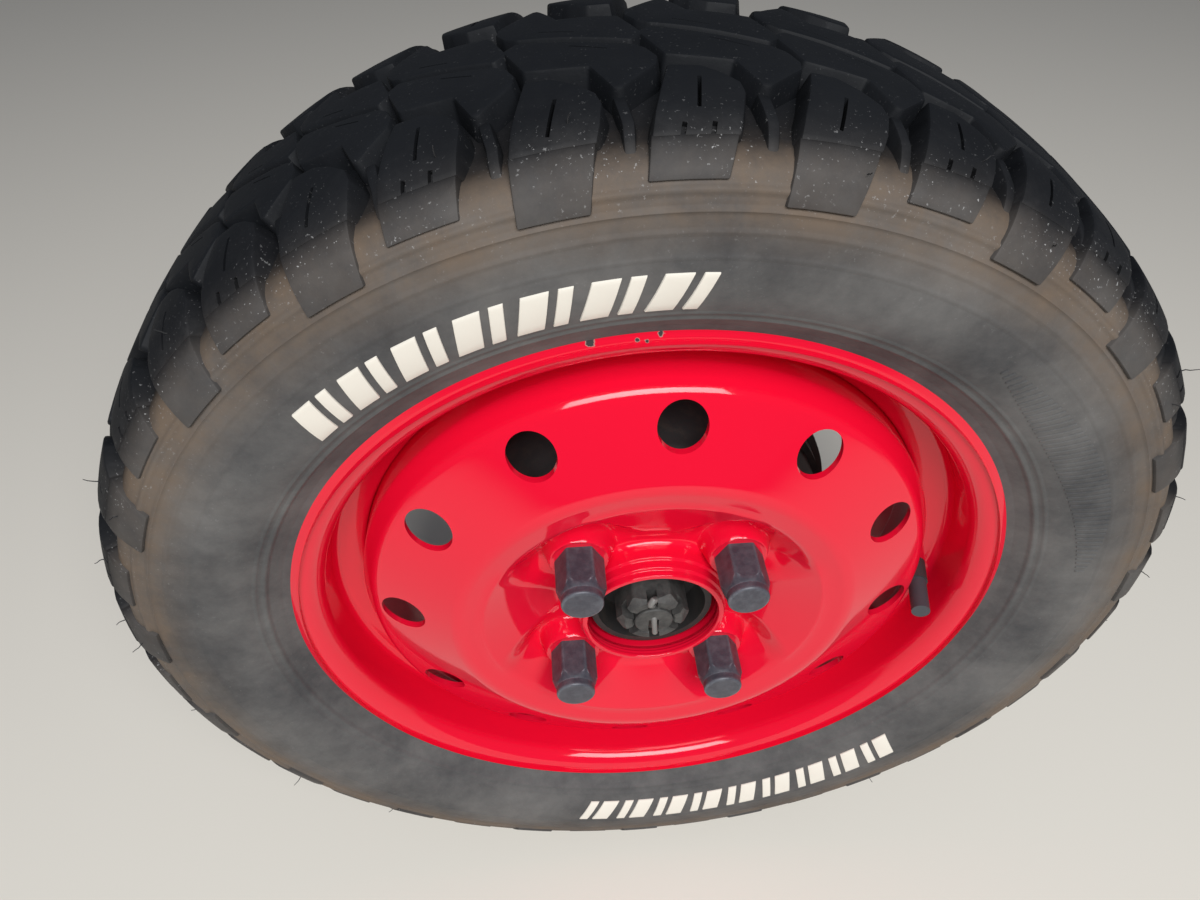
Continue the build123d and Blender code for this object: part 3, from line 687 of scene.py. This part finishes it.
def block(outline, top, bottom, draft, bevel, cuts=()):
    """A tread block as (flat points, faces): drafted sides, rounded edges and thin cuts."""
    bm = bmesh.new()
    upper = [bm.verts.new((x, s, top)) for x, s in outline]
    lower = [bm.verts.new((x, s, bottom)) for x, s in grown(outline, draft)]
    bm.faces.new(upper)
    bm.faces.new(lower[::-1])
    for i in range(len(upper)):
        j = (i + 1) % len(upper)
        bm.faces.new((lower[i], lower[j], upper[j], upper[i]))
    bmesh.ops.recalc_face_normals(bm, faces=bm.faces)
    rims = [e for e in bm.edges if any(v in upper for v in e.verts)]
    bmesh.ops.bevel(bm, geom=rims, offset=bevel, segments=2, affect="EDGES", profile=0.5)
    mesh = bpy.data.meshes.new("block")
    bm.to_mesh(mesh)
    bm.free()
    obj = bpy.data.objects.new("block", mesh)
    scene.collection.objects.link(obj)
    obj.data.materials.append(materials["tyre"])
    for start, way, wide, deep in cuts:
        boolean(obj, slit(start, way, wide, top, deep))
    bm = bmesh.new()
    bm.from_mesh(obj.data)
    bpy.data.objects.remove(obj)
    # Cut into strips, so that it bends with the tyre
    low = [min(v.co[i] for v in bm.verts) for i in (0, 1)]
    high = [max(v.co[i] for v in bm.verts) for i in (0, 1)]
    for axis, step in ((0, 7.0), (1, 4.0)):
        normal = (1 - axis, axis, 0)
        for place in np.arange(low[axis] + step, high[axis] - 1, step):
            everything = list(bm.verts) + list(bm.edges) + list(bm.faces)
            middle = [place * n for n in normal]
            bmesh.ops.bisect_plane(bm, geom=everything, plane_co=middle, plane_no=normal)
    return points_and_faces(bm)


def footing(outline):
    """The rubbed lower end of a shoulder lug, which stands further out as it runs down the side."""
    points, faces = block(outline, foot_top, foot_bottom, 0.8, 0.6)
    points[:, 2] += foot_rise * (foot_start - points[:, 1])
    return points, faces


def tread_kinds():
    """The tread's repeated shapes: the shoulder's by length of lug, and the blocks."""
    lug_draft, lug_edge = 2.0, 0.9
    ridge = block(ridge_top, ridge_drop, groove_floor, 0.8, 0.8)
    long_lug = block(long_lug_top, 0, groove_floor, lug_draft, lug_edge, long_lug_cuts)
    short_lug = block(short_lug_top, 0, groove_floor, lug_draft, lug_edge, short_lug_cuts)
    middle_top = [(x, half_girth - out) for x, out in block_top]
    across, out = block_cut_start
    middle_cut = ((across, half_girth - out), *block_cut)
    middle = block(middle_top, 0, groove_floor, 1.4, 1.1, [middle_cut])
    return {
        "long": [long_lug, footing(long_foot_top), ridge],
        "short": [short_lug, footing(short_foot_top), ridge],
        "blocks": [middle],
    }


def turned_over(points, turn_out=0.0):
    """The same shape in the tyre's inboard half, turned half round."""
    across = 2 * row_turn_across - points[:, 0]
    return np.stack([across, girth - 2 * turn_out - points[:, 1], points[:, 2]], axis=1)


def joined_mesh(name, parts, material, sharp=35.0):
    points, faces, start = [], [], 0
    for part_points, part_faces in parts:
        points.append(part_points)
        faces.extend([[i + start for i in face] for face in part_faces])
        start += len(part_points)
    return mesh_object(name, np.concatenate(points), faces, material, sharp)


def build_tread():
    kinds = tread_kinds()
    lugs, middles = [], []
    for k in range(lug_count):
        angle, width = lug_angle(k), lug_scale(k)
        for points, faces in kinds["long" if k % 2 else "short"]:
            lugs.append((on_tyre(points, angle), faces))
            lugs.append((on_tyre(turned_over(points), angle), faces))
        for points, faces in kinds["blocks"]:
            middles.append((on_tyre(points, angle, width), faces))
            middles.append((on_tyre(turned_over(points, row_turn_out), angle, width), faces))
    return [
        joined_mesh("tread_shoulders", lugs, materials["tyre"]),
        joined_mesh("tread_blocks", middles, materials["tyre"]),
    ]


def ground_height(along):
    """How the ground between the lugs lies to the tyre's outside."""
    edge = np.minimum(along, girth - along)
    height = np.interp(edge, *zip(*ground_steps))
    for place, width, rise in ribs:
        height += rise * smooth_step((width / 2 + 0.5 - np.abs(edge - place)) / 0.8)
    return height


def build_carcass():
    step, side_end = 0.8, 70
    along = np.arange(0, girth + 0.01, step)
    every_fourth = np.arange(len(along)) % 4 == 0
    along = along[(along < side_end) | (along > girth - side_end) | every_fourth]
    flat = np.stack([np.zeros_like(along), along, ground_height(along)], axis=1)
    profile = on_tyre(flat, 0)[:, :2]
    # The inside follows every eighth point, drawn in towards the middle
    wall, narrowing, inside_start = 4.8, 0.86, 186
    inner = [
        (r - wall if r > section_centre else r, centre_plane + (y - centre_plane) * narrowing)
        for r, y in profile[::8]
    ]
    inner = [p for p in inner if p[0] > inside_start]
    bead = barrel_radius + rim_sheet + 0.2
    bead_face = rim_sheet + 0.2
    heel = [
        (lip_radius - 6, lip_plane + bead_face),
        (bead + 2.5, lip_plane + bead_face + 2.3),
        (bead, lip_plane + 13),
        (bead, lip_plane + 22),
        (bead + 4, lip_plane + 27),
    ]
    far_heel = [(r, 2 * centre_plane - y) for r, y in heel]
    outline = [tuple(p) for p in profile] + far_heel + inner[::-1] + heel[::-1]
    return turned("tyre_carcass", outline, materials["tyre"], sharp=50)


def leaning(left, right, low, high, low_shift, high_shift):
    """A four-sided outline whose ends are shifted sideways."""
    low_side = [(left + low_shift, low), (right + low_shift, low)]
    return low_side + [(right + high_shift, high), (left + high_shift, high)]


def build_marks():
    """Raised pale bars of a plain pattern, on two arcs of the side wall."""
    # (first angle, last angle, pairs of bars, along at their inner and outer ends)
    arcs = [(133.0, 86.5, 7, 17.5, 35.0), (-41.5, -101.5, 9, 19.5, 37.0)]
    # A wide and a narrow bar, as shares of the room for a pair
    bars = [(-0.42, 0.0), (0.14, 0.36)]
    arc_radius, lean, foot, rise = 203, 3.0, -1.0, 0.7
    marks = []
    for start, end, count, inner, outer in arcs:
        step = (start - end) / count
        width = math.radians(step) * arc_radius
        for i in range(count):
            angle = start - step * (i + 0.5)
            for left, right in bars:
                outline = leaning(width * left, width * right, inner, outer, -lean, lean)
                points, faces = block(outline, rise, foot, 0.25, 0.2)
                marks.append((on_tyre(points, angle), faces))
    return joined_mesh("side_bars", marks, materials["white_rubber"])


def build_hatching():
    """Fine raised lines in a leaf-shaped band on the side wall."""
    first, last, step = 52, 8, 0.9
    reach_most, middle_along, sway, half_width = 9.0, 30, 3, 0.45
    marks = []
    for angle in np.arange(first, last, -step):
        reach = reach_most * math.sin(math.pi * (angle - 7) / 46) ** 0.7
        middle = middle_along + sway * math.sin(math.radians(angle * 6))
        outline = leaning(-half_width, half_width, middle - reach, middle + reach, 0, reach / 3)
        points, faces = block(outline, 0.5, -0.6, 0.1, 0.15)
        marks.append((on_tyre(points, angle), faces))
    return joined_mesh("side_hatching", marks, materials["tyre"])


def tube(path, radius, sides, tip=1.0):
    """A round bar along a path, whose end is tip times as thick, as (points, faces)."""
    path = np.array(path, float)
    ways = np.gradient(path, axis=0)
    ways /= np.linalg.norm(ways, axis=1, keepdims=True)
    aside = np.cross(ways[0], [0.3, 0.5, 0.8])
    points = []
    for i, (place, way) in enumerate(zip(path, ways)):
        aside = unit(aside - way * np.dot(aside, way))
        other = np.cross(way, aside)
        size = radius * (1 + (tip - 1) * i / (len(path) - 1))
        for t in full_circle(sides):
            points.append(place + size * (aside * math.cos(t) + other * math.sin(t)))
    faces = grid_faces(len(path), sides)
    faces += [tuple(range(sides))[::-1], tuple(range((len(path) - 1) * sides, len(path) * sides))]
    return np.array(points), faces


def build_hairs():
    """Moulding hairs that stand on the shoulder lugs and the side."""
    chance = random.Random(7)
    bare_share, root, root_depth = 0.55, 0.28, 0.3
    hairs = []
    for k in range(lug_count):
        for along in (72.0, 88.0):
            if chance.random() < bare_share:
                continue
            angle = lug_angle(k) + chance.uniform(-2.2, 2.2)
            length = chance.uniform(3.5, 7.0)
            lean = chance.uniform(-2.5, 2.5)
            flat = [
                (lean * t * t, along + chance.uniform(-0.3, 0.3), length * t - root_depth)
                for t in np.linspace(0, 1, 5)
            ]
            hairs.append(tube(on_tyre(flat, angle), root, 5, tip=0.6))
    return joined_mesh("tyre_hairs", hairs, materials["rubber"])


def paint_wear_and_shade(obj, mud_share, least_tread_and_shade):
    """Mud, dark tread and dust at each point, by how far round the section it lies. The dark tread is
    partly the rubber's own black and partly painted shade.
    """
    mesh = obj.data
    places = np.empty(len(mesh.vertices) * 3)
    mesh.vertices.foreach_get("co", places)
    places = places.reshape(-1, 3) / mm
    radius = np.hypot(places[:, 0], places[:, 2])
    turn = np.degrees(np.arctan2(radius - section_centre, np.abs(centre_plane - places[:, 1])))
    mud, tread, dust = (np.interp(turn, *zip(*steps)) for steps in (mud_steps, tread_and_shade_steps, dust_steps))
    tread = np.maximum(tread, least_tread_and_shade)
    attribute = mesh.attributes.new("wear_and_shade", "FLOAT_VECTOR", "POINT")
    attribute.data.foreach_set("vector", np.stack([mud * mud_share, tread, dust], axis=1).ravel())


def build_tyre():
    tread = build_tread()
    carcass = build_carcass()
    extras = [build_marks(), build_hatching(), build_hairs()]
    for obj in tread:
        paint_wear_and_shade(obj, lug_mud_share, lug_least_tread_and_shade)
    paint_wear_and_shade(carcass, 1.0, 0.0)
    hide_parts("tyre")
    for obj in tread + [carcass] + extras:
        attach(obj, "wheel")


build_tyre()

# Nuts, spindle end and split pin


def hexagon_bar(flats, near, far, turn, bevel, material):
    """A hexagonal bar along Y with rounded corners, one of them at the angle turn."""
    radius = flats / math.sqrt(3)
    bm = bmesh.new()
    rings = []
    for y in (near, far):
        angles = [math.radians(turn + 60 * i) for i in range(6)]
        rings.append([bm.verts.new((radius * math.cos(a), y, radius * math.sin(a))) for a in angles])
    for i in range(6):
        j = (i + 1) % 6
        bm.faces.new((rings[0][i], rings[0][j], rings[1][j], rings[1][i]))
    bm.faces.new(rings[0])
    bm.faces.new(rings[1][::-1])
    bmesh.ops.recalc_face_normals(bm, faces=bm.faces)
    corners = [e for e in bm.edges if abs(e.verts[0].co.y - e.verts[1].co.y) > 1]
    bmesh.ops.bevel(bm, geom=corners, offset=bevel, segments=3, affect="EDGES", profile=0.5)
    return mesh_object("bar", *points_and_faces(bm), material)


def copied(obj, name, place):
    """The same mesh, moved to a place given in millimetres."""
    mesh = obj.data.copy()
    for vertex in mesh.vertices:
        for axis in range(3):
            vertex.co[axis] += place[axis] * mm
    copy = bpy.data.objects.new(name, mesh)
    scene.collection.objects.link(copy)
    return copy


def build_wheel_nuts():
    corner = nut_flats / math.sqrt(3)
    outline = rounded(
        [
            (0, nut_cone_depth), (nut_cone_radius, nut_cone_depth), (nut_face_radius, -0.1),
            (corner - 0.6, -0.1), (corner + 0.1, -1.2), (corner + 0.1, -nut_hex_length + 6.0),
            (nut_cap_radius + 0.4, -nut_hex_length + 1.0), (nut_cap_radius, -nut_hex_length),
            (nut_cap_radius, -nut_length), (0, -nut_length),
        ],
        (0, 0, 0, 0.4, 0, 0.5, 0.3, nut_cap_bend),
        steps=5,
    )
    steel = materials["nut_steel"]
    bar = hexagon_bar(nut_flats, 5, -nut_length - 5, 0, nut_corner_bevel, steel)
    boolean(bar, turned("cutter", outline, steel, 96), "INTERSECT")
    smooth(bar, 28)
    for number, (x, z) in enumerate(stud_places(), 1):
        nut = copied(bar, f"wheel_nut_{number}", (x, nut_seat, z))
        stand_for(nut, f"lug_nut_{number}", "wheel")
    bpy.data.objects.remove(bar)


def build_castle_nut():
    bore = spindle_end_radius + 0.3
    outline = rounded(
        [
            (bore, washer_face), (castle_radius, washer_face), (castle_radius, castle_end + castle_bevel),
            (castle_crown_radius, castle_end), (bore + 1.1, castle_end), (bore, castle_end + 1.2),
        ],
        (0.5, 1.0, 1.0, 0.4),
        steps=4,
    )
    steel = materials["hub_steel"]
    corner_turn = slot_turn + 180 / slot_count
    nut = hexagon_bar(
        castle_flats, washer_face + 5, castle_end - 5, corner_turn, castle_corner_bevel, steel
    )
    boolean(nut, turned("cutter", outline, steel, 120), "INTERSECT")
    for i in range(slot_count // 2):
        turn = slot_turn + 360 / slot_count * i
        boolean(nut, slot_bar(30, -30, castle_end - 5, castle_end + slot_depth, turn))
    smooth(nut, 28)
    stand_for(nut, "castle_nut", "wheel")


def build_spindle():
    """The stub shaft with its threaded end turned down, made longer and slotted for the pin."""
    steel = materials["hub_steel"]
    spindle = bpy.data.objects.new("spindle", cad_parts["stub_shaft"].data.copy())
    scene.collection.objects.link(spindle)
    spindle.data.materials.clear()
    spindle.data.materials.append(steel)
    far, near = castle_end - 5, washer_face - 4
    sleeve = [(spindle_end_radius, far), (14, far), (14, near), (spindle_end_radius, near)]
    boolean(spindle, turned("cutter", sleeve, steel, 96))
    tip = castle_end - 0.6
    end = [
        (spindle_end_radius, castle_low[1] + 4), (spindle_end_radius, tip + spindle_end_bevel),
        (spindle_end_radius - spindle_end_bevel, tip),
    ]
    boolean(spindle, round_bar(end), "UNION")
    boolean(spindle, slot_bar(-1.5, 20, castle_end + 2.5, castle_end - 5, -90))
    smooth(spindle, 30)
    stand_for(spindle, "stub_shaft", "wheel")


def build_cotter():
    """The split pin: its eye in a slot of the nut, one leg bent down over the spindle's end."""
    c, s = math.cos(math.radians(slot_turn)), math.sin(math.radians(slot_turn))
    front = castle_end - 0.3
    # The eye as (out along the slot, aside, inboard of the front), the leg as (x, inboard, z)
    eye = [
        (3, 0, 3), (10.5, 0, 2.6), (13.5, -1.2, 0.6), (16.6, -1.0, -0.8), (17.8, 0.2, 0),
        (16.4, 1.4, 1.6), (13, 1.2, 3.2),
    ]
    leg = [(0, 3, 4), (0.1, 0.4, 2.6), (0.2, -0.5, 0), (0.5, -0.6, -4), (0.9, -0.4, -9.2)]
    eye = [(out * c + aside * s, front + inboard, out * s - aside * c) for out, aside, inboard in eye]
    leg = [(x, front + inboard, z) for x, inboard, z in leg]
    eye_radius, leg_radius, sides = 1.7, 1.5, 12
    parts = [tube(eye, eye_radius, sides), tube(leg, leg_radius, sides)]
    pin = joined_mesh("split_pin", parts, materials["pin_steel"], 60)
    stand_for(pin, "cotter_pin", "wheel")


build_wheel_nuts()
build_castle_nut()
build_spindle()
build_cotter()

# Nodes that keep their own mesh, by material
plain = {
    "rubber": ["valve_stem", "inspection_plug"],
    "cap_plastic": ["valve_cap"],
    "cast_iron": ["hub", "hub_washer", "brake_drum", "bearing_housing"],
    "black_paint": ["backing_plate"],
    "bare_steel": ["cylinder_bolts", "bleed_screw"],
}
plain["bare_steel"] += [f"{kind}_{i}" for kind in ("wheel_stud", "housing_bolt") for i in range(1, 5)]
for material, nodes in plain.items():
    for node in nodes:
        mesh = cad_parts[node].data
        mesh.materials.clear()
        mesh.materials.append(materials[material])

# Camera, from the photograph's fitted view, in metres and degrees
camera_place = (-0.04672, -0.34818, 0.36938)
camera_azimuth, camera_elevation = -4.43, 44.35
camera_lens, camera_sensor = 26.04, 36

data = bpy.data.cameras.new("camera")
data.lens = camera_lens
data.sensor_width = camera_sensor
camera = bpy.data.objects.new("camera", data)
scene.collection.objects.link(camera)
camera.location = camera_place
camera.rotation_euler = (math.radians(90 - camera_elevation), 0, math.radians(camera_azimuth))
scene.camera = camera

# Floor and light, in metres
bpy.ops.mesh.primitive_plane_add(size=8, location=(0, 0, floor_plane * mm))
floor = bpy.context.object
floor.name = "floor"
floor.data.materials.append(materials["floor"])

world = bpy.data.worlds.new("world")
scene.world = world
world.use_nodes = True
sky = world.node_tree.nodes["Background"].inputs
sky["Color"].default_value = (0.82, 0.88, 1.0, 1)
sky["Strength"].default_value = 0.13


def area_light(name, place, target, size, power, spread_degrees):
    light = bpy.data.lights.new(name, "AREA")
    light.shape = "RECTANGLE"
    light.size, light.size_y = size
    light.energy = power
    light.spread = math.radians(spread_degrees)
    obj = bpy.data.objects.new(name, light)
    scene.collection.objects.link(obj)
    obj.location = place
    obj.rotation_euler = (Vector(target) - Vector(place)).to_track_quat("-Z", "Y").to_euler()


area_light("key", (0.1, -1.85, 1.95), (0, -0.2, -0.2), size=(2.4, 1.2), power=46, spread_degrees=125)
scene.view_settings.view_transform = "Standard"
